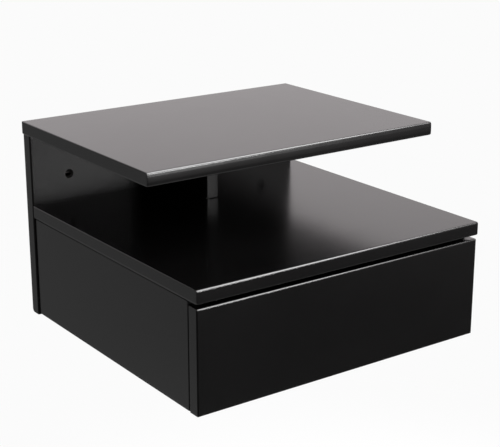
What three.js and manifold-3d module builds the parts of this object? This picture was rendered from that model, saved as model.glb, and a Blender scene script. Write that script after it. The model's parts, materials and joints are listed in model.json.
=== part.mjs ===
// Floating nightstand: a wall-hung bedside shelf with a raised top and one drawer without a handle.
// Lengths are in millimetres. +Z is up, -Y points from the wall into the room, +X is to the right.
// The origin lies on the wall face of the back panel, midway between its two wall-screw holes.

import * as THREE from 'three';
import { mergeVertices } from 'three/addons/utils/BufferGeometryUtils.js';
import Module from 'manifold-3d';

const wasm = await Module();
wasm.setup();

// Overall sizes
const topWidth = 400;
const topDepth = 292;
const shelfDepth = 380;
const boardThickness = 16;
const housingHeight = 125;
const openHeight = 87.5;
const dividerDepth = 99;

// Small steps from board to board
const backPanelInset = 1.5;
const shelfInset = 2;
const frontInset = 2.5;
const sideInset = 3.5;
const frontSetBack = 1;
const closingGap = 1.5;
const gripGap = 4.8;
const backPanelDrop = 2;

// Rounded edges
const slabArris = 2.2;
const panelArris = 2;
const drawerFrontArris = 1;
const panelFootRadius = 4.5;
const arcShares = [0, 0.25, 0.5, 0.75, 1];

// Wall-screw holes in the back panel
const wallHoleSpacing = 294;
const wallHoleHeight = 33;
const wallHoleRadius = 3.5;
const wallSinkRadius = 5.75;
const wallSinkDepth = 3.5;

// Drawer box
const drawerBoard = 12;
const drawerBoxHeight = 85;
const drawerBoxLift = 15;
const drawerRearGap = 47;
const drawerBottomThickness = 3;
const drawerBottomLift = 8;
const grooveDepth = 5;

// Roller runners
const runnerSpace = 12.5;
const runnerRearGap = 43;
const runnerSetBack = 2.5;
const runnerEndGap = 1;
const runnerSteel = 1.2;
const runnerEdgeGap = 0.5;
const flangeGap = 1;
const flangeReachGap = 1.8;
const seatFlangeWidth = 10;
const seatHeight = 3;
const drawerRollerRadius = 8.5;
const cabinetRollerRadius = 9;
const rollerWidth = 5.5;
const rollerStandOff = 1.7;
const rollerBoreRadius = 2.3;
const cabinetRollerInset = 12;
const drawerRollerInset = 10;
const pinRadius = 2;
const pinCollarRadius = 3.4;
const pinHeadThickness = 0.8;
const stopInset = 34.3;
const stopTabDrop = 6;

// Screws, each size given from its head down
const panelScrew = { headRadius: 5, headHeight: 1.2, coneHeight: 2.4, neckRadius: 3.4, neckLength: 10,
  shankRadius: 2.8, length: 50, tipLength: 3, socketRadius: 2.3, socketDepth: 2.5 };
const boxScrew = { headRadius: 3.6, headHeight: 0.8, coneHeight: 1.8, neckRadius: 2, neckLength: 9,
  shankRadius: 1.7, length: 35, tipLength: 3, socketRadius: 1.5, socketDepth: 1.5 };
const runnerScrew = { headRadius: 3, headHeight: 0.6, coneHeight: 0.3, neckRadius: 1.7, neckLength: 3,
  shankRadius: 1.4, length: 14, tipLength: 2, socketRadius: 1.2, socketDepth: 0.4 };

// Cam fittings: a drum let into one board's face pulls a bolt that stands in the other board's edge or face
const boardCam = { radius: 7.5, skin: 3.2, reach: 34, crossLength: 8, crossWidth: 1.4, crossDepth: 2 };
const drawerCam = { radius: 6, skin: 1.9, reach: 24, crossLength: 6, crossWidth: 1.1, crossDepth: 1.2 };
const boardBolt = { headRadius: 3.3, headHeight: 3, neckRadius: 1.8, collarRadius: 3.3, collarHeight: 1.5,
  threadRadius: 2.4, threadLength: 11 };
const drawerBolt = { headRadius: 2.6, headHeight: 2.4, neckRadius: 1.5, collarRadius: 2.6, collarHeight: 1.2,
  threadRadius: 2.2, threadLength: 11 };

// Dowels
const dowelRadius = 4;
const dowelLength = 30;
const dowelSeat = 11;
const dowelChamfer = 1;

// Places of the fasteners along the boards that they join
const shelfScrewSpacing = 130;
const sideScrewInset = 25;
const dividerScrewInset = 16;
const dividerDowelInset = 25;
const topCamSpacing = 220;
const sideCamInset = 40;
const sideDowelInset = 40;
const drawerCamHeight = 58;
const boxScrewLowHeight = 32;
const boxScrewHighHeight = 66;
const cabinetScrewInset = 37;
const cabinetScrewRearInset = 41.5;
const runnerSeatScrewOffset = 4.5;
const runnerSeatScrewFrontInset = 30;
const runnerSeatScrewRearInset = 60;

// Clearance of a piece in its hole, groove or seat, and how far a cut runs past the face it opens through
const fitGap = 0.3;
const overrun = 3;
const smallSteps = 10;
const camSteps = 16;
const rollerSteps = 20;
const socketSides = 6;
const mergeShare = 1 / 4000000;

// Heights, from the wall screws up and down
const shelfTop = -wallHoleHeight;
const shelfUnder = shelfTop - boardThickness;
const housingBottom = shelfUnder - housingHeight;
const backPanelBottom = housingBottom - backPanelDrop;
const topUnder = shelfTop + openHeight;
const topFace = topUnder + boardThickness;
const drawerFrontTop = shelfUnder - gripGap;
const boxBottom = housingBottom + drawerBoxLift;
const boxTop = boxBottom + drawerBoxHeight;
const drawerBottomLow = boxBottom + drawerBottomLift;
const drawerBottomHigh = drawerBottomLow + drawerBottomThickness;

// Depths, from the wall into the room
const wallFace = 0;
const backPanelFront = wallFace - boardThickness;
const shelfFront = wallFace - shelfDepth;
const drawerFace = shelfFront + frontSetBack;
const drawerFrontRear = drawerFace + boardThickness;
const sideFront = drawerFrontRear + closingGap;
const dividerFront = backPanelFront - dividerDepth;
const boxRear = backPanelFront - drawerRearGap;
const boxBackFront = boxRear - drawerBoard;

// Widths, from the middle to one side
const backPanelEnd = topWidth / 2 - backPanelInset;
const shelfEnd = topWidth / 2 - shelfInset;
const drawerFrontEnd = topWidth / 2 - frontInset;
const sideOuter = topWidth / 2 - sideInset;
const sideInner = sideOuter - boardThickness;
const sideMiddle = sideOuter - boardThickness / 2;
const boxOuter = sideInner - runnerSpace;
const boxInner = boxOuter - drawerBoard;
const boxSideMiddle = boxOuter - drawerBoard / 2;

// Finishes
const finish = (color, roughness, metalness) => (
  new THREE.MeshStandardMaterial({ color, roughness, metalness }));
const blackLacquer = finish('#1b1b1c', 0.32, 0);
const drawerFoil = finish('#232324', 0.5, 0);
const hardboard = finish('#2b2928', 0.6, 0);
const blackSteel = finish('#1f2022', 0.4, 0.4);
const zincSteel = finish('#a9adb2', 0.35, 0.9);
const castZinc = finish('#8f9296', 0.5, 0.8);
const nylon = finish('#d9d8d2', 0.45, 0);
const beech = finish('#c79b68', 0.7, 0);

// The right side is +1 and the left side is -1
const sides = [['left', -1], ['right', 1]];

const axes = {
  x: new THREE.Vector3(1, 0, 0),
  y: new THREE.Vector3(0, 1, 0),
  z: new THREE.Vector3(0, 0, 1),
};
const down = axes.z.clone().negate();
const intoRoom = axes.y.clone().negate();
const sideways = (side) => axes.x.clone().multiplyScalar(side);

// Shared corners are merged and flat slivers dropped, so that the shape can be cut and joined
function toSolid(geometry) {
  geometry.computeBoundingSphere();
  const bare = geometry.clone();
  bare.deleteAttribute('normal');
  bare.deleteAttribute('uv');
  const merged = mergeVertices(bare, geometry.boundingSphere.radius * mergeShare);
  const kept = [];
  for (let i = 0; i < merged.index.count; i += 3) {
    const [a, b, c] = [0, 1, 2].map((corner) => merged.index.getX(i + corner));
    if (a !== b && b !== c && a !== c) kept.push(a, b, c);
  }
  const vertProperties = merged.attributes.position.array;
  return new wasm.Manifold(new wasm.Mesh({ numProp: 3, vertProperties, triVerts: new Uint32Array(kept) }));
}

function toGeometry(solid) {
  const { vertProperties, triVerts } = solid.getMesh();
  const geometry = new THREE.BufferGeometry();
  geometry.setAttribute('position', new THREE.BufferAttribute(vertProperties, 3));
  geometry.setIndex(new THREE.BufferAttribute(triVerts, 1));
  return geometry;
}

const ordered = ([a, b]) => [Math.min(a, b), Math.max(a, b)];

// A closed box between two x, two y and two z values
function block(xs, ys, zs) {
  const ranges = [xs, ys, zs].map(ordered);
  const [width, depth, height] = ranges.map(([low, high]) => high - low);
  const middle = ranges.map(([low, high]) => (low + high) / 2);
  return toSolid(new THREE.BoxGeometry(width, depth, height).translate(...middle));
}

// A flat outline drawn out along one axis. For x it is drawn in (y, z), for y in (z, x) and for z in (x, y).
function drawnOut(outline, axis, [from, to]) {
  const frames = { x: [axes.y, axes.z, axes.x], y: [axes.z, axes.x, axes.y], z: [axes.x, axes.y, axes.z] };
  const geometry = new THREE.ExtrudeGeometry(outline, {
    depth: to - from,
    bevelEnabled: false,
  });
  geometry.translate(0, 0, from);
  geometry.applyMatrix4(new THREE.Matrix4().makeBasis(...frames[axis]));
  return toSolid(geometry);
}

// A rectangle whose corners are rounded where their radius isn't zero, given anticlockwise from low, low
function roundedRectangle([u0, u1], [v0, v1], radii) {
  const corners = [[u0, v0, 1, 1], [u1, v0, -1, 1], [u1, v1, -1, -1], [u0, v1, 1, -1]];
  const points = corners.flatMap(([u, v, inU, inV], corner) => {
    const radius = radii[corner];
    const turnShares = radius > 0 ? arcShares : [0];
    return turnShares.map((share) => {
      const angle = Math.PI + (corner + share) * Math.PI / 2;
      return new THREE.Vector2(u + radius * (inU + Math.cos(angle)), v + radius * (inV + Math.sin(angle)));
    });
  });
  return new THREE.Shape(points);
}

// A place for a turned piece: its own +Y, which runs towards its head, is laid along a direction
function placed(at, towards) {
  const position = new THREE.Vector3(...at);
  const quaternion = new THREE.Quaternion().setFromUnitVectors(axes.y, towards);
  return { position, quaternion };
}

// A turned solid from a profile of [radius, height] pairs that runs up the axis
function turned(profile, steps) {
  return new THREE.LatheGeometry(profile.map(([radius, height]) => new THREE.Vector2(radius, height)), steps);
}

// A shape that is made upright on its own axis and then laid in its place
function laid(geometry, place) {
  return toSolid(geometry.applyQuaternion(place.quaternion).translate(...place.position.toArray()));
}

// The hole for a turned piece: its profile let out by the clearance, and run out past its head
function turnedHole(profile, steps, place) {
  const last = profile.length - 1;
  const wider = profile.map(([radius, height], i) => [
    radius > 0 ? radius + fitGap : 0,
    i >= last - 1 ? height + overrun : height - fitGap,
  ]);
  return laid(turned(wider, steps), place);
}

// A plain round hole from a face down into the material
function bore(radius, depth, place) {
  return turnedHole([[0, -depth], [radius, -depth], [radius, 0], [0, 0]], smallSteps, place);
}

function addMesh(group, name, solid, material) {
  const geometry = toGeometry(solid);
  geometry.computeBoundingBox();
  const middle = geometry.boundingBox.getCenter(new THREE.Vector3());
  geometry.translate(-middle.x, -middle.y, -middle.z);
  const mesh = new THREE.Mesh(geometry, material);
  mesh.name = name;
  mesh.position.copy(middle);
  group.add(mesh);
}

// A piece that is made upright on its own axis and then set in its place
function addPlaced(group, name, solid, material, place) {
  const mesh = new THREE.Mesh(toGeometry(solid), material);
  mesh.name = name;
  mesh.position.copy(place.position);
  mesh.quaternion.copy(place.quaternion);
  group.add(mesh);
}

// A board starts as a plain or rounded bar and collects its cuts until it is added to a group
function board(xs, ys, zs, rounds = []) {
  const bars = rounds.map(({ along, radii }) => {
    const outlines = { x: [ys, zs, xs], y: [zs, xs, ys], z: [xs, ys, zs] };
    const [us, vs, length] = outlines[along];
    return drawnOut(roundedRectangle(us, vs, radii), along, length);
  });
  const [first, ...others] = bars.length > 0 ? bars : [block(xs, ys, zs)];
  return { solid: others.reduce((body, bar) => body.intersect(bar), first) };
}

function cut(tool, ...boards) {
  for (const piece of boards) piece.solid = piece.solid.subtract(tool);
}

// Boards of the housing and the raised top

const topShelf = board([-topWidth / 2, topWidth / 2], [wallFace - topDepth, wallFace], [topUnder, topFace],
  [{ along: 'x', radii: [slabArris, 0, 0, slabArris] }]);
const backPanel = board([-backPanelEnd, backPanelEnd], [backPanelFront, wallFace],
  [backPanelBottom, topUnder], [
    { along: 'z', radii: [panelArris, panelArris, 0, 0] },
    { along: 'x', radii: [0, panelFootRadius, 0, 0] },
  ]);
const lowerShelf = board([-shelfEnd, shelfEnd], [shelfFront, backPanelFront], [shelfUnder, shelfTop],
  [{ along: 'x', radii: [slabArris, 0, 0, slabArris] }]);
const sidePanels = sides.map(([, side]) => board(
  ordered([side * sideInner, side * sideOuter]),
  [sideFront, backPanelFront],
  [housingBottom, shelfUnder],
));
const divider = board([-boardThickness / 2, boardThickness / 2], [dividerFront, backPanelFront],
  [shelfTop, topUnder]);

// Boards of the drawer

const drawerFront = board([-drawerFrontEnd, drawerFrontEnd], [drawerFace, drawerFrontRear],
  [housingBottom, drawerFrontTop], [
    { along: 'x', radii: [drawerFrontArris, 0, 0, drawerFrontArris] },
    { along: 'z', radii: [drawerFrontArris, drawerFrontArris, 0, 0] },
  ]);
const drawerSides = sides.map(([, side]) => board(
  ordered([side * boxInner, side * boxOuter]),
  [drawerFrontRear, boxRear],
  [boxBottom, boxTop],
));
const drawerBack = board([-boxInner, boxInner], [boxBackFront, boxRear], [boxBottom, boxTop]);
const grooveReach = boxInner + grooveDepth;
const drawerBottom = board([-grooveReach + fitGap, grooveReach - fitGap],
  [drawerFrontRear - grooveDepth + fitGap, boxBackFront + grooveDepth - fitGap],
  [drawerBottomLow, drawerBottomHigh]);

const grooveHeights = [drawerBottomLow - fitGap, drawerBottomHigh + fitGap];
const groove = (ys) => block([-grooveReach, grooveReach], ys, grooveHeights);
cut(groove([drawerFrontRear - grooveDepth, drawerFrontRear + overrun]), drawerFront);
cut(groove([boxBackFront - overrun, boxBackFront + grooveDepth]), drawerBack);
cut(groove([drawerFrontRear - overrun, boxRear + overrun]), ...drawerSides);

// Wall-screw holes, right through and sunk from the front

for (const [, side] of sides) {
  const place = placed([side * wallHoleSpacing / 2, backPanelFront, 0], intoRoom);
  const profile = [
    [0, -boardThickness - overrun],
    [wallHoleRadius, -boardThickness - overrun],
    [wallHoleRadius, -wallSinkDepth],
    [wallSinkRadius, 0],
    [wallSinkRadius, overrun],
    [0, overrun],
  ];
  cut(laid(turned(profile, rollerSteps), place), backPanel);
}

// Screws

function screwProfile(screw) {
  const { headRadius, headHeight, coneHeight, neckRadius, shankRadius, length, tipLength } = screw;
  const neckEnd = headHeight + coneHeight + screw.neckLength;
  return [
    [0, -length],
    [shankRadius / 2, -length],
    [shankRadius, tipLength - length],
    [shankRadius, -neckEnd],
    [neckRadius, -neckEnd],
    [neckRadius, -headHeight - coneHeight],
    [headRadius, -headHeight],
    [headRadius, 0],
    [0, 0],
  ];
}

// A screw with a six-sided socket in its head, and its hole through the boards that it joins
function addScrew(group, name, screw, at, towards, boards) {
  const place = placed(at, towards);
  const profile = screwProfile(screw);
  const { socketRadius, socketDepth } = screw;
  const socket = new THREE.CylinderGeometry(socketRadius, socketRadius, 2 * socketDepth, socketSides);
  addPlaced(group, name, toSolid(turned(profile, smallSteps)).subtract(toSolid(socket)), zincSteel, place);
  cut(turnedHole(profile, smallSteps, place), ...boards);
}

// Dowels

function addDowel(group, name, at, towards, boards) {
  const half = dowelLength / 2;
  const profile = [
    [0, -half],
    [dowelRadius - dowelChamfer, -half],
    [dowelRadius, dowelChamfer - half],
    [dowelRadius, half - dowelChamfer],
    [dowelRadius - dowelChamfer, half],
    [0, half],
  ];
  const place = placed(at, towards);
  addPlaced(group, name, toSolid(turned(profile, smallSteps)), beech, place);
  const holeRadius = dowelRadius + fitGap;
  const hole = new THREE.CylinderGeometry(holeRadius, holeRadius, dowelLength + 2 * fitGap, smallSteps);
  cut(laid(hole, place), ...boards);
}

// Cam fittings

// A bolt's profile starts at its screwed-in end; height 0 is the face where the two boards meet
function boltProfile(bolt, reach) {
  const neckEnd = reach - bolt.headHeight / 2;
  return [
    [0, -bolt.threadLength],
    [bolt.threadRadius, -bolt.threadLength],
    [bolt.threadRadius, 0],
    [bolt.collarRadius, fitGap],
    [bolt.collarRadius, bolt.collarHeight],
    [bolt.neckRadius, bolt.collarHeight],
    [bolt.neckRadius, neckEnd],
    [bolt.headRadius, neckEnd],
    [bolt.headRadius, neckEnd + bolt.headHeight],
    [0, neckEnd + bolt.headHeight],
  ];
}

// The joint is where the bolt's axis meets the seam of the two boards. The first of the axes runs from there
// into the board that holds the cam, the second points out of the face that the cam is let into.
function addCamFitting(group, names, cam, bolt, joint, axesOut, faceDistance, camBoard, boltBoard) {
  const [boltAxis, faceAxis] = axesOut;
  const boltPlace = placed(joint, boltAxis);
  const camFace = boltPlace.position.clone().addScaledVector(boltAxis, cam.reach)
    .addScaledVector(faceAxis, faceDistance);
  const camPlace = placed(camFace.toArray(), faceAxis);
  const camFoot = cam.skin - 2 * faceDistance;
  const camProfile = [
    [0, camFoot],
    [cam.radius, camFoot],
    [cam.radius, -fitGap],
    [0, -fitGap],
  ];

  const pocketRadius = bolt.headRadius + fitGap;
  const pocketEnd = cam.reach + bolt.headHeight / 2 + fitGap;
  const pocketLength = pocketEnd + overrun;
  const tube = new THREE.CylinderGeometry(pocketRadius, pocketRadius, pocketLength, smallSteps);
  const pocket = laid(tube.translate(0, pocketEnd - pocketLength / 2, 0), boltPlace);

  let body = laid(turned(camProfile, camSteps), camPlace).subtract(pocket);
  for (const [width, depth] of [[cam.crossLength, cam.crossWidth], [cam.crossWidth, cam.crossLength]]) {
    body = body.subtract(laid(new THREE.BoxGeometry(width, 2 * (cam.crossDepth + fitGap), depth), camPlace));
  }
  addMesh(group, names.cam, body, castZinc);
  const shaft = toSolid(turned(boltProfile(bolt, cam.reach), smallSteps));
  addPlaced(group, names.bolt, shaft, zincSteel, boltPlace);
  cut(turnedHole(camProfile, camSteps, camPlace), camBoard);
  cut(pocket, camBoard);
  cut(bore(bolt.threadRadius, bolt.threadLength, boltPlace), boltBoard);
}

const housing = new THREE.Group();
const drawer = new THREE.Group();

const headDepth = wallFace - fitGap;
const shelfMiddle = shelfUnder + boardThickness / 2;
for (const [name, across] of [['left', -1], ['middle', 0], ['right', 1]]) {
  addScrew(housing, `shelf_screw_${name}`, panelScrew, [across * shelfScrewSpacing, headDepth, shelfMiddle],
    axes.y, [backPanel, lowerShelf]);
}
sides.forEach(([name, side], i) => {
  for (const [level, height] of [
    ['upper', shelfUnder - sideScrewInset],
    ['lower', housingBottom + sideScrewInset],
  ]) {
    addScrew(housing, `side_screw_${name}_${level}`, panelScrew, [side * sideMiddle, headDepth, height],
      axes.y, [backPanel, sidePanels[i]]);
  }
});
for (const [level, height] of [
  ['upper', topUnder - dividerScrewInset],
  ['lower', shelfTop + dividerScrewInset],
]) {
  addScrew(housing, `divider_screw_${level}`, panelScrew, [0, headDepth, height],
    axes.y, [backPanel, divider]);
}

const dividerDowelDepth = dividerFront + dividerDowelInset;
const dowelOffset = dowelLength / 2 - dowelSeat;
addDowel(housing, 'divider_dowel_top', [0, dividerDowelDepth, topUnder - dowelOffset], axes.z,
  [divider, topShelf]);
addDowel(housing, 'divider_dowel_foot', [0, dividerDowelDepth, shelfTop + dowelOffset], axes.z,
  [divider, lowerShelf]);

sides.forEach(([name, side], i) => {
  addCamFitting(housing, { cam: `top_cam_${name}`, bolt: `top_cam_bolt_${name}` }, boardCam, boardBolt,
    [side * topCamSpacing / 2, backPanelFront + boardThickness / 2, topUnder], [down, axes.y],
    boardThickness / 2, backPanel, topShelf);
  addCamFitting(housing, { cam: `side_cam_${name}`, bolt: `side_cam_bolt_${name}` }, boardCam, boardBolt,
    [side * sideMiddle, sideFront + sideCamInset, shelfUnder], [down, sideways(-side)],
    boardThickness / 2, sidePanels[i], lowerShelf);
  addDowel(housing, `side_dowel_${name}`, [side * sideMiddle, backPanelFront - sideDowelInset,
    shelfUnder - dowelOffset], axes.z, [sidePanels[i], lowerShelf]);
  addCamFitting(drawer, { cam: `drawer_cam_${name}`, bolt: `drawer_cam_bolt_${name}` }, drawerCam, drawerBolt,
    [side * boxSideMiddle, drawerFrontRear, boxBottom + drawerCamHeight], [axes.y, sideways(-side)],
    drawerBoard / 2, drawerSides[i], drawerFront);
  for (const [level, height] of [['upper', boxScrewHighHeight], ['lower', boxScrewLowHeight]]) {
    addScrew(drawer, `drawer_back_screw_${name}_${level}`, boxScrew,
      [side * (boxOuter - fitGap), boxRear - drawerBoard / 2, boxBottom + height],
      sideways(side), [drawerSides[i], drawerBack]);
  }
});

// Roller runners. Sideways places count from the drawer box outwards, heights from the fixed member's foot.
// The drawer runs out until its rear rollers reach the stop tabs that hang in the fixed members' channels.

const runnerFoot = boxBottom - seatHeight;
const channelTop = runnerSteel + 2 * fitGap + 2 * drawerRollerRadius;
const channelHeight = channelTop + runnerSteel;
const rideHeight = channelHeight + flangeGap;
const drawerRollerHeight = runnerSteel + fitGap + drawerRollerRadius;
const cabinetRollerHeight = rideHeight - fitGap - cabinetRollerRadius;
const fixedFront = sideFront + runnerSetBack;
const fixedRear = backPanelFront - runnerRearGap;
const cabinetRollerPlace = fixedFront + cabinetRollerInset;
const drawerRollerPlace = boxRear - drawerRollerInset;
const flangeStart = cabinetRollerPlace + cabinetRollerRadius + rollerStandOff;
const stopFace = flangeStart + stopInset;

// Sideways places and heights become x and z on one side of the drawer
const runnerBlock = (side, outs, ys, heights) => block(
  outs.map((out) => side * (boxOuter + out)), ys, heights.map((height) => runnerFoot + height));

sides.forEach(([name, side], i) => {
  const ys = [fixedFront, fixedRear];
  const webInner = runnerSpace - runnerSteel;
  const flangeEdge = runnerSteel + runnerEdgeGap;
  const flangeOuts = [flangeEdge, runnerSpace];
  const fixed = {
    solid: runnerBlock(side, [webInner, runnerSpace], ys, [0, channelHeight])
      .add(runnerBlock(side, flangeOuts, ys, [0, runnerSteel]))
      .add(runnerBlock(side, flangeOuts, [flangeStart, fixedRear], [channelTop, channelHeight]))
      .add(runnerBlock(side, [flangeEdge, runnerSpace - flangeReachGap], [stopFace - runnerSteel, stopFace],
        [channelTop - stopTabDrop, channelHeight])),
  };
  for (const [end, y] of [
    ['front', sideFront + cabinetScrewInset],
    ['rear', fixedRear - cabinetScrewRearInset],
  ]) {
    const head = runnerScrew.headHeight + runnerScrew.coneHeight + fitGap;
    addScrew(housing, `cabinet_runner_screw_${name}_${end}`, runnerScrew,
      [side * (boxOuter + webInner - head), y, runnerFoot + drawerRollerHeight],
      sideways(-side), [fixed, sidePanels[i]]);
  }

  const slidingYs = [drawerFrontRear + runnerEndGap, boxRear];
  const flangeTip = runnerSpace - runnerSteel - flangeReachGap;
  const seatUnder = seatHeight - runnerSteel;
  const rideTop = rideHeight + runnerSteel;
  const sliding = {
    solid: runnerBlock(side, [0, runnerSteel], slidingYs, [seatUnder, rideTop])
      .add(runnerBlock(side, [-seatFlangeWidth, runnerSteel], slidingYs, [seatUnder, seatHeight]))
      .add(runnerBlock(side, [0, flangeTip], slidingYs, [rideHeight, rideTop])),
  };
  for (const [end, y] of [
    ['front', drawerFrontRear + runnerSeatScrewFrontInset],
    ['rear', boxRear - runnerSeatScrewRearInset],
  ]) {
    const head = runnerSteel + runnerScrew.headHeight + runnerScrew.coneHeight + fitGap;
    addScrew(drawer, `drawer_runner_screw_${name}_${end}`, runnerScrew,
      [side * (boxOuter - runnerSeatScrewOffset), y, boxBottom - head], down, [sliding, drawerSides[i]]);
  }

  // A pin stands on a runner's web: shank through the web, collar, bearing for the roller, and a head
  const pinProfile = [
    [0, fitGap - runnerSteel],
    [pinRadius, fitGap - runnerSteel],
    [pinRadius, fitGap],
    [pinCollarRadius, fitGap],
    [pinCollarRadius, rollerStandOff - fitGap],
    [pinRadius, rollerStandOff - fitGap],
    [pinRadius, rollerStandOff + rollerWidth + fitGap],
    [pinCollarRadius, rollerStandOff + rollerWidth + fitGap],
    [pinCollarRadius, rollerStandOff + rollerWidth + fitGap + pinHeadThickness],
    [0, rollerStandOff + rollerWidth + fitGap + pinHeadThickness],
  ];
  for (const { group, owner, member, out, y, height, towards, radius } of [
    { group: housing, owner: 'cabinet', member: fixed, out: webInner, y: cabinetRollerPlace,
      height: cabinetRollerHeight, towards: -side, radius: cabinetRollerRadius },
    { group: drawer, owner: 'drawer', member: sliding, out: runnerSteel, y: drawerRollerPlace,
      height: drawerRollerHeight, towards: side, radius: drawerRollerRadius },
  ]) {
    const place = placed([side * (boxOuter + out), y, runnerFoot + height], sideways(towards));
    const pin = toSolid(turned(pinProfile, smallSteps));
    addPlaced(group, `${owner}_roller_pin_${name}`, pin, zincSteel, place);
    const rollerProfile = [
      [rollerBoreRadius, rollerStandOff],
      [radius - fitGap, rollerStandOff],
      [radius, rollerStandOff + fitGap],
      [radius, rollerStandOff + rollerWidth - fitGap],
      [radius - fitGap, rollerStandOff + rollerWidth],
      [rollerBoreRadius, rollerStandOff + rollerWidth],
      [rollerBoreRadius, rollerStandOff],
    ];
    addPlaced(group, `${owner}_roller_${name}`, toSolid(turned(rollerProfile, rollerSteps)), nylon, place);
    cut(bore(pinRadius, 2 * runnerSteel, place), member);
  }
  addMesh(housing, `cabinet_runner_${name}`, fixed.solid, blackSteel);
  addMesh(drawer, `drawer_runner_${name}`, sliding.solid, blackSteel);
});

addMesh(housing, 'top_shelf', topShelf.solid, blackLacquer);
addMesh(housing, 'back_panel', backPanel.solid, blackLacquer);
addMesh(housing, 'lower_shelf', lowerShelf.solid, blackLacquer);
addMesh(housing, 'divider', divider.solid, blackLacquer);
addMesh(drawer, 'drawer_front', drawerFront.solid, blackLacquer);
addMesh(drawer, 'drawer_back', drawerBack.solid, drawerFoil);
addMesh(drawer, 'drawer_bottom', drawerBottom.solid, hardboard);
sides.forEach(([name], i) => {
  addMesh(housing, `side_panel_${name}`, sidePanels[i].solid, blackLacquer);
  addMesh(drawer, `drawer_side_${name}`, drawerSides[i].solid, drawerFoil);
});

const nightstand = new THREE.Group();
nightstand.add(housing, drawer);

export default nightstand;
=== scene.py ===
# %% [markdown]
# # A floating nightstand in satin black lacquer
#
# The nightstand hangs on a wall. A back panel carries a raised top, a deeper lower shelf and a
# housing with one drawer. This lesson dresses its exact frame, piece by piece, for pictures from
# any side. All lengths are in metres. The wall is the plane y = 0, the drawer opens along -Y, +X
# is to the right and +Z is up.

import json
import math

import bpy
import bmesh
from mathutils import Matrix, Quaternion, Vector

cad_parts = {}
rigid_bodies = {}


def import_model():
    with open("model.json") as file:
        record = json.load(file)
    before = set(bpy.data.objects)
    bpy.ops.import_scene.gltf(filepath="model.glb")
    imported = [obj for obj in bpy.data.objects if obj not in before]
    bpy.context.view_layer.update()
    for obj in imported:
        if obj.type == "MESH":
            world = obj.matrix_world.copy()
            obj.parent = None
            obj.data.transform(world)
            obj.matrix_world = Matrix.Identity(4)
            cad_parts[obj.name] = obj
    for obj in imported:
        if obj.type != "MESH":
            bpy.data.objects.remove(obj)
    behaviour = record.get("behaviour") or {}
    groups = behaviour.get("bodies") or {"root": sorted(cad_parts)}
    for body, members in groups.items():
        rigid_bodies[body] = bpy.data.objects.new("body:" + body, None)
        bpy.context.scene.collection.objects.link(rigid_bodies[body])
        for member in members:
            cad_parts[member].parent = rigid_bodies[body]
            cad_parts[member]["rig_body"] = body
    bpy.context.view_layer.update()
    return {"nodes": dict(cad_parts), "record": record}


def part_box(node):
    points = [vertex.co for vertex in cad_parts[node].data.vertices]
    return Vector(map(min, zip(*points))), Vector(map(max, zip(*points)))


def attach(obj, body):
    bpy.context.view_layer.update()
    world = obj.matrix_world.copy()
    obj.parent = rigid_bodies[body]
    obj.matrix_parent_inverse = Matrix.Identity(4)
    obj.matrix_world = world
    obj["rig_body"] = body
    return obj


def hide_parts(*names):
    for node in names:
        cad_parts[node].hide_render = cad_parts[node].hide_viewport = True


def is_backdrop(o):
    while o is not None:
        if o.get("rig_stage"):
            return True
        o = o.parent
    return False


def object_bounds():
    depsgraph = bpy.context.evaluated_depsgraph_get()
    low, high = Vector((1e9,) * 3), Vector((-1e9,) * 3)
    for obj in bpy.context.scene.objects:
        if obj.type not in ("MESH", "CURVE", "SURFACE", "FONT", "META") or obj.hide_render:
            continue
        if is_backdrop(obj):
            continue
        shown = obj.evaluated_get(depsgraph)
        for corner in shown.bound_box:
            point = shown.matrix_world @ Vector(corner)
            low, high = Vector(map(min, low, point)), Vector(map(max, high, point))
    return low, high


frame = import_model()
nodes = frame["nodes"]
millimetre = 0.001


def in_millimetres(size):
    return [round(side / millimetre, 1) for side in size]


# %% [markdown]
# ## The camera
#
# The picture is taken from the front left, a little above the top, by a camera that stands well
# away with a long lens. Its place was worked out from the corners of the boards. It is tilted down
# rather than shifted, so that the nightstand stays in the middle of the picture from every side.

# %% Camera
camera_data = bpy.data.cameras.new("camera")
camera_data.sensor_width = 36
camera_data.lens = 92.5
camera_data.clip_start = 0.05
camera_data.clip_end = 50
camera = bpy.data.objects.new("camera", camera_data)
bpy.context.scene.collection.objects.link(camera)
bpy.context.scene.camera = camera

camera_place = Vector((-0.8575, -1.3957, 0.4216))
camera_turn = math.radians(35.54)
camera_tilt = math.radians(17.58)
camera.location = camera_place
camera.rotation_euler = (math.pi / 2 - camera_tilt, 0, -camera_turn)
bpy.context.scene.view_settings.view_transform = "Standard"
print("camera", round(camera_place.length, 2), "m from the wall screws")

# %% [markdown]
# ## Writing materials as sums
#
# A material is a net of nodes. Long nets are easier to read as sums, so a socket is wrapped in a
# small class whose + - * add the Math nodes. Every other node comes from one method, which takes
# the node's type, its settings and the values or links of its sockets.

# %% A socket that can be added and multiplied
class Field:
    """A value that changes over the surface: an output socket in a net of nodes."""

    def __init__(self, net, socket):
        self.net = net
        self.socket = socket

    def __add__(self, other):
        return self.net.math("ADD", self, other)

    __radd__ = __add__

    def __mul__(self, other):
        return self.net.math("MULTIPLY", self, other)

    __rmul__ = __mul__

    def __sub__(self, other):
        return self.net.math("SUBTRACT", self, other)

    def __rsub__(self, other):
        return self.net.math("SUBTRACT", other, self)


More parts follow.
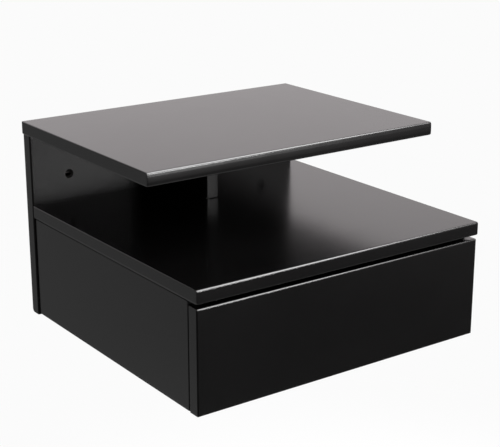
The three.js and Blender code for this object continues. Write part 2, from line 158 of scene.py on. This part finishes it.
# %% A net of nodes
class Net:
    """The nodes of one material or of the world."""

    def __init__(self, owner):
        owner.use_nodes = True
        self.tree = owner.node_tree
        self.tree.nodes.clear()

    def node(self, kind, settings=None, sockets=None, output=0):
        node = self.tree.nodes.new(kind)
        for name, value in (settings or {}).items():
            setattr(node, name, value)
        for name, value in (sockets or {}).items():
            socket = node.inputs[name]
            if isinstance(value, Field):
                self.tree.links.new(value.socket, socket)
            else:
                socket.default_value = value
        return Field(self, node.outputs[output])

    def math(self, operation, first, second):
        return self.node("ShaderNodeMath", {"operation": operation}, {0: first, 1: second})

    def place(self, scale=(1, 1, 1)):
        """The point on the piece, in metres, squeezed by a scale along each axis."""
        point = self.node("ShaderNodeTexCoord", output="Object")
        return self.node("ShaderNodeMapping", None, {"Vector": point, "Scale": scale})

    def noise(self, scale, detail=2.0, place=None):
        """Cloudy noise between 0 and 1, scale clouds to the metre."""
        sockets = {"Vector": place or self.place(), "Scale": scale, "Detail": detail}
        return self.node("ShaderNodeTexNoise", None, sockets)

    def step(self, value, low, high):
        """0 below low, 1 above high, and smooth in between."""
        sockets = {"Value": value, "From Min": low, "From Max": high}
        return self.node("ShaderNodeMapRange", {"interpolation_type": "SMOOTHSTEP"}, sockets)

    def blend(self, factor, first, second):
        """A colour between two colours."""
        sockets = {0: factor, 6: first, 7: second}
        return self.node("ShaderNodeMix", {"data_type": "RGBA"}, sockets, output=2)

    def bump(self, height, strength, distance):
        sockets = {"Height": height, "Strength": strength, "Distance": distance}
        return self.node("ShaderNodeBump", None, sockets)

    def surface(self, **sockets):
        """One Principled surface. Names are the sockets' own, with _ for a space."""
        named = {name.replace("_", " "): value for name, value in sockets.items()}
        shader = self.node("ShaderNodeBsdfPrincipled", None, named, output="BSDF")
        self.output("ShaderNodeOutputMaterial", shader)

    def output(self, kind, shader):
        end = self.tree.nodes.new(kind)
        self.tree.links.new(shader.socket, end.inputs["Surface"])


def grey(level, tint=(1, 1, 1)):
    return (level * tint[0], level * tint[1], level * tint[2], 1)


# %% [markdown]
# ## The studio
#
# Black satin lacquer has hardly a colour of its own. What is seen on it is the room. The top
# mirrors the white upper half of the room behind it at a flat angle, so it looks grey. The upright
# faces mirror the darker lower half, so they stay almost black. The room gets darker downwards in
# front, and keeps an even half-light low at the back, a little lighter towards the left. Far below
# the horizon it glows faintly, like a pale floor, which only the lower rounded edges mirror. A
# dark band in front, just above the horizon, keeps the mirror image of the back panel in the lower
# shelf dark. The room is dimmed behind the camera. Looked at directly, it is plain white.
#
# Heights in the room run from -1 straight down over 0 at the horizon to 1 straight up. A band is
# the pair of values between which one level passes softly into the next.

# %% World
room_white = 0.965
upper_tint = (1.0, 0.945, 0.957)
upper_level = 1.06
foot_level = 0.02
front_low_level = 0.06
back_low_level = 0.222
left_low_level = 0.30
back_glow_level = 0.55
front_glow_level = 0.40
camera_side_level = 0.40
dark_band_share = 0.85
scattered_level = 0.28

foot_band = (-0.95, -0.55)
glow_band = (-0.62, -0.38)
front_horizon = (-0.42, 0.25)
back_horizon = (-0.15, 0.10)
leftward_band = (0.36, 0.56)
frontward_band = (0.2, 0.6)
dark_band_foot = (-0.05, 0.05)
dark_band_head = (0.18, 0.28)
back_left_band = (0.1, 0.9)
back_left_turn = 0.4
camera_side_band = (0.12, 0.50)
camera_side_head = (0.10, 0.50)
camera_side_across, camera_side_depth = 0.8, 0.6

world = bpy.data.worlds.new("studio")
bpy.context.scene.world = world
room = Net(world)

direction = room.node("ShaderNodeTexCoord", output="Generated")
across, depth, height = (
    room.node("ShaderNodeSeparateXYZ", None, {"Vector": direction}, output=axis) for axis in "XYZ")
above_foot = room.step(height, *foot_band)
above_glow = room.step(height, *glow_band)
front_glow = room.blend(above_foot, grey(foot_level), grey(front_glow_level))
back_glow = room.blend(above_foot, grey(foot_level), grey(back_glow_level))
front_low = room.blend(above_glow, front_glow, grey(front_low_level))
leftward = room.step(0 - across, *leftward_band)
half_light = room.blend(leftward, grey(back_low_level), grey(left_low_level))
back_low = room.blend(above_glow, back_glow, half_light)

front = room.blend(room.step(height, *front_horizon), front_low, grey(upper_level, upper_tint))
frontward = room.step(0 - depth, *frontward_band)
under_head = 1 - room.step(height, *dark_band_head)
dark_band = frontward * room.step(height, *dark_band_foot) * under_head
banded = room.blend(dark_band * dark_band_share, front, grey(0))
back_left = room.step(depth - across * back_left_turn, *back_left_band)
lit_room = room.blend(back_left * (1 - room.step(height, *back_horizon)), banded, back_low)
towards_camera = 0 - across * camera_side_across - depth * camera_side_depth
camera_low = 1 - room.step(height, *camera_side_head)
camera_side = room.step(towards_camera, *camera_side_band) * camera_low
mirrored_room = room.blend(camera_side * (1 - camera_side_level), lit_room, grey(0))

ray = {name: room.node("ShaderNodeLightPath", output=name)
       for name in ("Is Camera Ray", "Is Glossy Ray", "Is Transmission Ray")}
mirrored, scattered, seen = (
    room.node("ShaderNodeBackground", None, {"Color": colour, "Strength": strength})
    for colour, strength in
    ((mirrored_room, 1.0), (mirrored_room, scattered_level), (grey(room_white), 1.0)))
bounced = ray["Is Glossy Ray"] + ray["Is Transmission Ray"]
lit = room.node("ShaderNodeMixShader", None, {0: bounced, 1: scattered, 2: mirrored})
studio = room.node("ShaderNodeMixShader", None, {0: ray["Is Camera Ray"], 1: lit, 2: seen})
room.output("ShaderNodeOutputWorld", studio)
print("world levels: up", upper_level, "low at the back", back_low_level)

# %% [markdown]
# ## Floor and lamps
#
# The nightstand hangs above a small pale floor. Seen by the camera the floor is nearly as white as
# the room, and keeps a faint soft shadow. It fades out towards its rim, shows from above only and
# isn't mirrored in the lacquer. Five soft lamps light the piece at a plain level. The long one at
# the upper right draws the thin bright lines along the rounded edges. The low one at the front
# right brushes over the upright fronts, most of all over the top's. Together with the raised one
# beside it, it also lights the back panel by way of the lower shelf. The last two fill the left.

# %% Floor
floor_height = -0.62
floor_radius = 0.9
floor_middle = Vector((0, -0.25, floor_height))
floor_sides = 96
rim_shares = (0.35, 0.98)
floor_paint = 0.86
least_glow = 0.78

bpy.ops.object.select_all(action="DESELECT")
bpy.ops.mesh.primitive_circle_add(
    vertices=floor_sides, radius=floor_radius, fill_type="NGON", location=floor_middle)
floor = bpy.context.object
floor.name = "floor"
bpy.ops.object.transform_apply(location=True, rotation=True, scale=True)

pale = bpy.data.materials.new("pale_floor")
net = Net(pale)
point = net.node("ShaderNodeTexCoord", output="Object")
from_middle = net.node("ShaderNodeVectorMath", {"operation": "DISTANCE"},
                       {0: point, 1: floor_middle}, output="Value")
rim = net.step(from_middle, *(floor_radius * share for share in rim_shares))
camera_ray = net.node("ShaderNodeLightPath", output="Is Camera Ray")
plain = net.node("ShaderNodeBsdfDiffuse", None, {"Color": grey(floor_paint)})
bright = net.node("ShaderNodeEmission", None, {"Color": grey(room_white), "Strength": 1.0})
gone = net.node("ShaderNodeBsdfTransparent")
glow = camera_ray * (least_glow + (1 - least_glow) * rim)
above = net.node("ShaderNodeMixShader", None, {0: glow, 1: plain, 2: bright})
under = net.node("ShaderNodeNewGeometry", output="Backfacing")
glossy_ray = net.node("ShaderNodeLightPath", output="Is Glossy Ray")
left_out = net.math("MAXIMUM", under, glossy_ray)
shown = net.node("ShaderNodeMixShader", None, {0: left_out, 1: above, 2: gone})
net.output("ShaderNodeOutputMaterial", shown)
floor.data.materials.append(pale)
floor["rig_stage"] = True

# %% Lamps
nightstand_middle = Vector((0, -0.19, -0.05))


def softbox(name, place, size, power, roll=0):
    """A soft lamp that looks at the nightstand. The roll turns it about that line, in degrees."""
    data = bpy.data.lights.new(name, "AREA")
    data.shape = "RECTANGLE"
    data.size, data.size_y = size
    data.energy = power
    lamp = bpy.data.objects.new(name, data)
    bpy.context.scene.collection.objects.link(lamp)
    lamp.location = place
    aim = (nightstand_middle - lamp.location).to_track_quat("-Z", "Y")
    lamp.rotation_euler = (aim @ Quaternion((0, 0, 1), math.radians(roll))).to_euler()
    lamp.visible_camera = False


softbox("lamp_upper_right", Vector((1.15, -1.26, 1.76)), (1.05, 2.56), 120, -47)
softbox("lamp_front_right", Vector((1.08, -2.46, -0.03)), (0.40, 0.12), 18)
softbox("lamp_raised_right", Vector((0.81, -1.81, 0.61)), (0.52, 0.16), 3.0)
softbox("lamp_front_left", Vector((-1.3, -1.5, 1.2)), (1.2, 1.2), 4)
softbox("lamp_back_left", Vector((-1.4, 0.9, 1.0)), (1.0, 1.0), 6)
print("five lamps")

# %% [markdown]
# ## Satin black lacquer
#
# The boards are fibreboard under a sprayed satin lacquer. Sprayed lacquer dries with very shallow
# waves, called orange peel, and its gloss wanders a little from place to place. A near-black
# colour under a plain mirror that grows at flat angles is all it takes, with no second coat. Along
# the rounded edges, the arrises, the film is thinner and rubbed, so it is a little rougher and
# paler there. The drilled holes go through raw fibreboard, which the spray barely reaches, so
# their walls are rough and brownish black. Arrises and holes are marked on the mesh, so that the
# material can find them.

# %% Black lacquer
finishes = {}
lacquer_tint = (1.05, 0.98, 1.0)
thick_film, thin_film = grey(0.0010, lacquer_tint), grey(0.0024, lacquer_tint)
raw_board = grey(0.006, (1.25, 1.0, 0.8))


def new_finish(slot):
    """A material for one of the record's material slots, with an empty net."""
    finishes[slot] = bpy.data.materials.new(slot)
    return Net(finishes[slot])


net = new_finish("black_lacquer")
arris = net.node("ShaderNodeAttribute", {"attribute_name": "arris"}, output="Fac")
bore = net.node("ShaderNodeAttribute", {"attribute_name": "bore"}, output="Fac")
clouds = net.noise(6, 3)
rubs = net.noise(42, 4)
peel = net.noise(240, 1.5)
grain = net.noise(1700, 2)
lacquer = net.blend(0.6 * clouds + 0.4 * arris, thick_film, thin_film)
net.surface(
    Base_Color=net.blend(bore, lacquer, raw_board),
    Roughness=0.155 + 0.05 * clouds + 0.03 * rubs + 0.04 * arris * rubs + 0.6 * bore,
    IOR=1.5,
    Normal=net.bump(0.75 * peel + 0.25 * grain, 0.05, 0.0004),
)
print("black_lacquer:", len(net.tree.nodes), "nodes")

# %% [markdown]
# ## Foil and hardboard in the drawer
#
# The drawer's box is fibreboard wrapped in a near-black foil. The foil is embossed with fine
# grains, so it looks matt. The bottom is a 3 mm hardboard with a dark painted face, in which the
# pressed fibres show a little.

# %% Foil and hardboard
net = new_finish("drawer_foil")
arris = net.node("ShaderNodeAttribute", {"attribute_name": "arris"}, output="Fac")
emboss = net.noise(1500, 2)
strands = net.noise(90, 3, net.place((1, 0.08, 1)))
net.surface(
    Base_Color=net.blend(0.7 * strands + 0.3 * arris, grey(0.014), grey(0.024)),
    Roughness=0.40 + 0.10 * emboss + 0.05 * arris,
    IOR=1.48,
    Normal=net.bump(0.6 * emboss + 0.4 * strands, 0.12, 0.0003),
)

net = new_finish("hardboard")
board_tint = (1.1, 1, 0.92)
fibres = net.noise(420, 4, net.place((1, 0.35, 1)))
mottle = net.noise(24, 3)
net.surface(
    Base_Color=net.blend(0.5 * fibres + 0.5 * mottle,
                         grey(0.016, board_tint), grey(0.034, board_tint)),
    Roughness=0.46 + 0.16 * fibres,
    IOR=1.48,
    Normal=net.bump(fibres, 0.18, 0.0003),
)
print("drawer_foil and hardboard")

# %% [markdown]
# ## Metal, nylon and beech
#
# The runners are folded sheet steel under black powder paint, which is fine-grained. The rollers'
# tracks are rubbed smoother. Screws, bolts and pins are zinc plated, with a faint bluish cast that
# drifts. The cams are die-cast zinc, duller and slightly pitted. The rollers are off-white nylon,
# turned smooth by use. The dowels are beech.

# %% Metal finishes
net = new_finish("runner_steel")
powder = net.noise(2100, 3)
rubbed = net.step(net.noise(55, 4, net.place((1, 0.1, 1))), 0.52, 0.70)
net.surface(
    Base_Color=net.blend(rubbed, grey(0.014), grey(0.045)),
    Roughness=0.48 - 0.16 * rubbed + 0.08 * powder,
    IOR=1.5,
    Normal=net.bump(powder, 0.25, 0.0003),
)

net = new_finish("zinc_steel")
drift = net.noise(130, 3)
scratches = net.noise(900, 3, net.place((1, 0.2, 1)))
net.surface(
    Base_Color=net.blend(drift, (0.55, 0.60, 0.66, 1), (0.68, 0.66, 0.60, 1)),
    Metallic=1.0,
    Roughness=0.24 + 0.14 * drift + 0.08 * scratches,
    Normal=net.bump(scratches, 0.15, 0.0002),
)

net = new_finish("cast_zinc")
zinc_tint = (1, 1.01, 1.03)
pits = net.noise(1300, 4)
tarnish = net.noise(160, 3)
net.surface(
    Base_Color=net.blend(tarnish, grey(0.34, zinc_tint), grey(0.50, zinc_tint)),
    Metallic=1.0,
    Roughness=0.42 + 0.18 * tarnish,
    Normal=net.bump(pits, 0.35, 0.0003),
)
print("three metal finishes")

# %% Nylon and beech
net = new_finish("roller_nylon")
scuffs = net.step(net.noise(320, 4), 0.45, 0.75)
net.surface(
    Base_Color=net.blend(scuffs, (0.70, 0.69, 0.64, 1), (0.56, 0.55, 0.51, 1)),
    Roughness=0.36 + 0.16 * scuffs,
    IOR=1.53,
    Normal=net.bump(scuffs, 0.08, 0.0002),
)

net = new_finish("beech")
growth = net.noise(420, 3, net.place((1, 1, 0.06)))
flecks = net.step(net.noise(1500, 2, net.place((1, 1, 0.12))), 0.58, 0.70)
net.surface(
    Base_Color=net.blend(0.65 * growth + 0.35 * flecks,
                         (0.60, 0.41, 0.25, 1), (0.42, 0.26, 0.14, 1)),
    Roughness=0.62 + 0.12 * growth,
    IOR=1.45,
    Normal=net.bump(growth, 0.2, 0.0002),
)
print(len(finishes), "finishes:", ", ".join(sorted(finishes)))

# %% [markdown]
# ## Tools for making boards
#
# A board starts as a cube at the size and place of its part in the frame. Its front edges are
# rounded in edit mode, then its other sharp edges get a fine arris. Holes are drilled with cones
# and cylinders that a Boolean modifier cuts away. Then a line is cut around the board near each of
# its sides, so that the soft shading of a corner ends there and doesn't run down the whole edge.
# Rounded edges and holes are marked for the lacquer. Last, weighted normals keep the flat faces
# flat right up to the rounded edges.

# %% Selecting and settling
hair = 0.1 * millimetre  # two places nearer than this count as one


def deselect():
    if bpy.context.mode != "OBJECT":
        bpy.ops.object.mode_set(mode="OBJECT")
    bpy.ops.object.select_all(action="DESELECT")


def only(piece):
    """This piece alone is selected and active."""
    deselect()
    piece.select_set(True)
    bpy.context.view_layer.objects.active = piece


def settle(piece):
    """The object's place, turn and size go into its mesh."""
    only(piece)
    bpy.ops.object.transform_apply(location=True, rotation=True, scale=True)


def choose_edges(piece, test):
    """Edit mode, with the edges selected that pass a test."""
    only(piece)
    bpy.ops.object.mode_set(mode="EDIT")
    bpy.ops.mesh.select_mode(type="EDGE")
    bpy.ops.mesh.select_all(action="DESELECT")
    mesh = bmesh.from_edit_mesh(piece.data)
    for edge in mesh.edges:
        if test(edge):
            edge.select_set(True)
    bmesh.update_edit_mesh(piece.data)


def round_edges(piece, test, radius, segments):
    """Rounds the edges that pass a test. The profile is a quarter of a circle."""
    choose_edges(piece, test)
    bpy.ops.mesh.bevel(offset=radius, offset_type="OFFSET", segments=segments,
                       profile=0.5, affect="EDGES")
    bpy.ops.object.mode_set(mode="OBJECT")


# %% Which edges
nearly_one = 0.999
sharp_angle = math.radians(50)


def middle_of(edge):
    return (edge.verts[0].co + edge.verts[1].co) / 2


def runs_along(edge, axis):
    line = edge.verts[1].co - edge.verts[0].co
    return abs(line.normalized()[axis]) > nearly_one


def long_front(edge, front):
    """An edge that runs across the front face, at y = front."""
    return runs_along(edge, 0) and abs(middle_of(edge).y - front) < hair


def upright_front(edge, front):
    return runs_along(edge, 2) and abs(middle_of(edge).y - front) < hair


def end_edge(edge, level):
    """An edge that runs from front to back along an end face, at z = level."""
    return runs_along(edge, 1) and abs(middle_of(edge).z - level) < hair


def still_sharp(edge):
    return edge.calc_face_angle(0) > sharp_angle


# %% Cubes and drills
overrun = 0.5 * millimetre  # a bit starts this far in front of the wood
bit_sides = 40
bores = {}  # the holes of each piece: mouth, direction, radius and depth


def block(name, low, high):
    """A cube at a place and size in the frame."""
    deselect()
    bpy.ops.mesh.primitive_cube_add(size=1, location=(low + high) / 2)
    piece = bpy.context.object
    piece.name = name
    piece.scale = high - low
    settle(piece)
    return piece


def drill(piece, mouth, inward, radius, depth, end_radius=None):
    """Cuts a round hole from its mouth along a direction. With an end radius it is a cone."""
    end_radius = end_radius or radius
    bores.setdefault(piece.name, []).append((mouth, inward, radius, depth))
    start = mouth - inward * overrun
    slope = (end_radius - radius) / depth
    deselect()
    bpy.ops.mesh.primitive_cone_add(
        vertices=bit_sides, radius1=radius - slope * overrun, radius2=end_radius,
        depth=depth + overrun, location=start + inward * (depth + overrun) / 2)
    bit = bpy.context.object
    bit.rotation_mode = "QUATERNION"
    bit.rotation_quaternion = inward.to_track_quat("Z", "Y")
    settle(bit)
    cut_away(piece, bit)


def cut_away(piece, bit):
    """A Boolean modifier takes the bit out of the piece."""
    only(piece)
    bpy.ops.object.modifier_add(type="BOOLEAN")
    hole = piece.modifiers[-1]
    hole.object = bit
    hole.operation = "DIFFERENCE"
    hole.solver = "EXACT"
    bpy.ops.object.modifier_apply(modifier=hole.name)
    bpy.data.objects.remove(bit)


# %% Marks, shading and the place in the frame
mouth_margin = 0.2 * millimetre
hold_margin = 5 * millimetre
smooth_angle = math.radians(35)


def in_a_bore(piece, face):
    """Whether a face is the wall or the floor of a drilled hole, below its mouth."""
    for mouth, inward, radius, depth in bores.get(piece.name, []):
        along = (face.center - mouth).dot(inward)
        aside = (face.center - mouth - inward * along).length
        if mouth_margin < along < depth + millimetre and aside < radius + hair:
            return True
    return False


def mark_faces(piece):
    """Marks the drilled holes, and the other faces that lie along no axis: the rounded edges."""
    drilled = [in_a_bore(piece, face) for face in piece.data.polygons]
    slanting = [max(map(abs, face.normal)) < nearly_one for face in piece.data.polygons]
    rounded = [slants and not raw for slants, raw in zip(slanting, drilled)]
    for name, marks in (("arris", rounded), ("bore", drilled)):
        mark = piece.data.attributes.new(name, "FLOAT", "FACE")
        mark.data.foreach_set("value", [float(marked) for marked in marks])


def hold_corners(piece):
    """Cuts a line around the piece near each of its six sides, where a corner's shading ends."""
    corners = [Vector(corner) for corner in piece.bound_box]
    only(piece)
    bpy.ops.object.mode_set(mode="EDIT")
    for axis in range(3):
        line = Vector((0, 0, 0))
        line[axis] = 1
        levels = [corner[axis] for corner in corners]
        for level in (min(levels) + hold_margin, max(levels) - hold_margin):
            bpy.ops.mesh.select_all(action="SELECT")
            bpy.ops.mesh.bisect(plane_co=line * level, plane_no=line)
    deselect()


def finish_piece(piece, node, slot):
    """Shading, finish and place in the frame for a piece that stands for a part of it."""
    hold_corners(piece)
    mark_faces(piece)
    only(piece)
    bpy.ops.object.shade_smooth_by_angle(angle=smooth_angle)
    bpy.ops.object.modifier_add(type="WEIGHTED_NORMAL")
    evened = piece.modifiers[-1]
    evened.keep_sharp = True
    bpy.ops.object.modifier_apply(modifier=evened.name)
    piece.data.materials.clear()
    piece.data.materials.append(finishes[slot])
    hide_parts(node)
    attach(piece, nodes[node]["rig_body"])
    print(piece.name, len(piece.data.polygons), "faces")


# %% [markdown]
# ## The top and the lower shelf
#
# Both slabs are 16 mm boards whose front edges are rounded to 2 mm above and below, which catches
# the light as a thin line. The lower edges of their ends are rounded alike, the upper ones to half
# of that. The other edges have only the fine arris that sanding before the lacquer leaves. The
# front of the top is also domed by a hair, because the lacquer builds up there. Row by row it
# leans forward at its foot and back towards its upper edge, so it gets lighter upwards in the
# picture.
#
# A round is the radius of an edge and the number of faces around it.

# %% Slabs
slab_radius = 2.0 * millimetre
slab_round = slab_radius, 8
end_round = 1.0 * millimetre, 4
fine_round = 0.7 * millimetre, 2
dome_rows = 6
dome_leans = math.radians(-3.5), math.radians(4.5)
forward, backward = Vector((0, -1, 0)), Vector((0, 1, 0))


def dome_front(piece, low, high, leans):
    """Cuts the front face into rows that lean, from one angle at the bottom to one at the top."""
    choose_edges(piece, lambda edge: upright_front(edge, low.y))
    bpy.ops.mesh.subdivide(number_cuts=dome_rows - 1)
    row_height = (high.z - low.z) / dome_rows
    steps_back = [0.0]
    for row in range(dome_rows):
        lean = leans[0] + (leans[1] - leans[0]) * row / (dome_rows - 1)
        steps_back.append(steps_back[-1] + math.tan(lean) * row_height)
    for line, step_back in enumerate(steps_back):
        level = low.z + line * row_height
        choose_edges(piece, lambda edge: runs_along(edge, 0)
                     and abs(middle_of(edge).z - level) < row_height / 4
                     and middle_of(edge).y < low.y + slab_radius)
        bpy.ops.transform.translate(value=(0, step_back - min(steps_back), 0))
    deselect()


def slab_edge(edge, low, high):
    """The two long edges of the front, and the lower edges of the ends."""
    middle = middle_of(edge)
    near_face = min(abs(middle.z - low.z), abs(middle.z - high.z)) < hair
    long_edge = runs_along(edge, 0) and near_face and middle.y < low.y + slab_radius
    return long_edge or end_edge(edge, low.z)


def slab(name, node, leans=None):
    low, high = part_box(node)
    piece = block(name, low, high)
    if leans:
        dome_front(piece, low, high, leans)
    round_edges(piece, lambda edge: slab_edge(edge, low, high), *slab_round)
    round_edges(piece, lambda edge: end_edge(edge, high.z), *end_round)
    round_edges(piece, still_sharp, *fine_round)
    return piece


top_board = slab("top_board", "top_shelf", dome_leans)
finish_piece(top_board, "top_shelf", "black_lacquer")
shelf_board = slab("shelf_board", "lower_shelf")
finish_piece(shelf_board, "lower_shelf", "black_lacquer")

# %% [markdown]
# ## The back panel
#
# The back panel stands against the wall and carries everything. Two holes take the wall screws,
# each sunk from the front. They are drilled and sunk with separate bits, as in a workshop. On the
# wall side, sunk screw heads hold the shelf, the sides and the divider, and two cams pull the top
# down. The lower edge towards the wall is rounded most, which its end face shows.

# %% Back panel
panel_round = 2.0 * millimetre, 6
foot_round = 4.5 * millimetre, 8
wall_hole_offset = 147 * millimetre
wall_bore_radius, wall_bore_depth = 3.5 * millimetre, 18 * millimetre
sink_radius, sink_depth = 5.75 * millimetre, 3.5 * millimetre
low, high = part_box("back_panel")
panel = block("back_panel_board", low, high)
round_edges(panel, lambda edge: upright_front(edge, low.y), *panel_round)
round_edges(panel, lambda edge: runs_along(edge, 0) and middle_of(edge).y > -millimetre
            and middle_of(edge).z < low.z + millimetre, *foot_round)
round_edges(panel, still_sharp, *fine_round)

for side in (-1, 1):
    mouth = Vector((side * wall_hole_offset, low.y, 0))
    drill(panel, mouth, backward, wall_bore_radius, wall_bore_depth)
    drill(panel, mouth, backward, sink_radius, sink_depth, wall_bore_radius)
print("back panel with its two wall-screw holes")

# %% Sunk heads and cams on the wall side
# A hole is its radius and its depth.
head_hole = 5.3 * millimetre, 4.2 * millimetre
cam_hole = 7.8 * millimetre, 13 * millimetre


def middle_of_node(node):
    node_low, node_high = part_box(node)
    return (node_low + node_high) / 2


screw_kinds = ("shelf_screw", "side_screw", "divider_screw")
panel_screws = [name for name in nodes if name.startswith(screw_kinds)]
for name in panel_screws:
    mouth = middle_of_node(name)
    mouth.y = 0
    drill(panel, mouth, forward, *head_hole)
for name in ("top_cam_left", "top_cam_right"):
    mouth = middle_of_node(name)
    mouth.y = 0
    drill(panel, mouth, forward, *cam_hole)
finish_piece(panel, "back_panel", "black_lacquer")

# %% [markdown]
# ## Sides and divider
#
# The housing's sides have their upright front edges rounded to 2 mm and hold a cam each, let into
# their inner faces, which pulls the lower shelf down onto them. Where a side meets the shelf, a
# narrow rebate leaves a shadow line, as a joint between two lacquered boards shows. The divider is
# a plain board with fine arrises. At its front foot it stops a little short of the shelf, which
# shows as a dark line.

# %% Sides and divider
side_round = 2.0 * millimetre, 6
divider_round = 0.8 * millimetre, 4
shadow_height = 1.3 * millimetre
shadow_depth = 2.5 * millimetre
foot_gap = 1.5 * millimetre


def rebate(piece, low, high):
    """Cuts a step into a piece, with a cube from one corner to the other."""
    bit = block("rebate", low, high)
    cut_away(piece, bit)


inward = {"left": Vector((-1, 0, 0)), "right": Vector((1, 0, 0))}
for hand in ("left", "right"):
    low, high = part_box("side_panel_" + hand)
    piece = block("side_board_" + hand, low, high)
    round_edges(piece, lambda edge: upright_front(edge, low.y), *side_round)
    round_edges(piece, still_sharp, *fine_round)
    outer = low.x if hand == "left" else high.x
    rebate(piece,
           Vector((outer - shadow_depth, low.y - shadow_depth, high.z - shadow_height)),
           Vector((outer + shadow_depth, high.y + shadow_depth, high.z + shadow_height)))
    mouth = middle_of_node("side_cam_" + hand)
    mouth.x = high.x if hand == "left" else low.x
    drill(piece, mouth, inward[hand], *cam_hole)
    finish_piece(piece, "side_panel_" + hand, "black_lacquer")

low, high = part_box("divider")
piece = block("divider_board", low, high)
round_edges(piece, lambda edge: upright_front(edge, low.y), *divider_round)
round_edges(piece, still_sharp, *fine_round)
rebate(piece,
       Vector((low.x - shadow_depth, low.y - shadow_depth, low.z - foot_gap)),
       Vector((high.x + shadow_depth, low.y + shadow_depth, low.z + foot_gap)))
finish_piece(piece, "divider", "black_lacquer")

# %% [markdown]
# ## The drawer
#
# The drawer's front is lacquered like the housing. Its front edges are rounded to 1.8 mm and its
# upright back edges to 1.5 mm, so it catches the same thin line of light as the slabs. Its box is
# made of thinner boards in foil. The sides hold a cam each near the front, and sunk screws near
# the back.

# %% Drawer front
drawer_round = 1.8 * millimetre, 8
drawer_back_round = 1.5 * millimetre, 5
low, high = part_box("drawer_front")
piece = block("drawer_front_board", low, high)
round_edges(piece, lambda edge: long_front(edge, low.y) or upright_front(edge, low.y),
            *drawer_round)
round_edges(piece, lambda edge: upright_front(edge, high.y), *drawer_back_round)
round_edges(piece, still_sharp, *fine_round)
finish_piece(piece, "drawer_front", "black_lacquer")

# %% Drawer box
small_cam_hole = 6.3 * millimetre, 10.2 * millimetre
small_head_hole = 3.9 * millimetre, 3.2 * millimetre

for hand in ("left", "right"):
    node = "drawer_side_" + hand
    low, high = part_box(node)
    piece = block(node + "_board", low, high)
    round_edges(piece, still_sharp, *fine_round)
    mouth = middle_of_node("drawer_cam_" + hand)
    mouth.x = high.x if hand == "left" else low.x
    drill(piece, mouth, inward[hand], *small_cam_hole)
    for name in ("drawer_back_screw_" + hand + "_upper", "drawer_back_screw_" + hand + "_lower"):
        mouth = middle_of_node(name)
        mouth.x = low.x if hand == "left" else high.x
        drill(piece, mouth, -inward[hand], *small_head_hole)
    finish_piece(piece, node, "drawer_foil")

low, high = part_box("drawer_back")
piece = block("drawer_back_board", low, high)
round_edges(piece, still_sharp, *fine_round)
finish_piece(piece, "drawer_back", "drawer_foil")

# %% [markdown]
# ## Fittings that keep their shape
#
# The runners, rollers, pins, screws, bolts, cams, dowels and the drawer's bottom have the right
# shape in the frame already. They only get the finish of their slot.

# %% Finishes for the frame's own parts
for part in frame["record"]["subparts"]:
    mesh = nodes[part["node"]].data
    mesh.materials.clear()
    mesh.materials.append(finishes[part["material_slot"]])

# %% [markdown]
# ## Sizes and the end
#
# The dressed nightstand must fill the same box as the frame. Its box is printed in millimetres.

# %% Sizes
low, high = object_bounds()
print("visual box", in_millimetres(high - low), "mm")
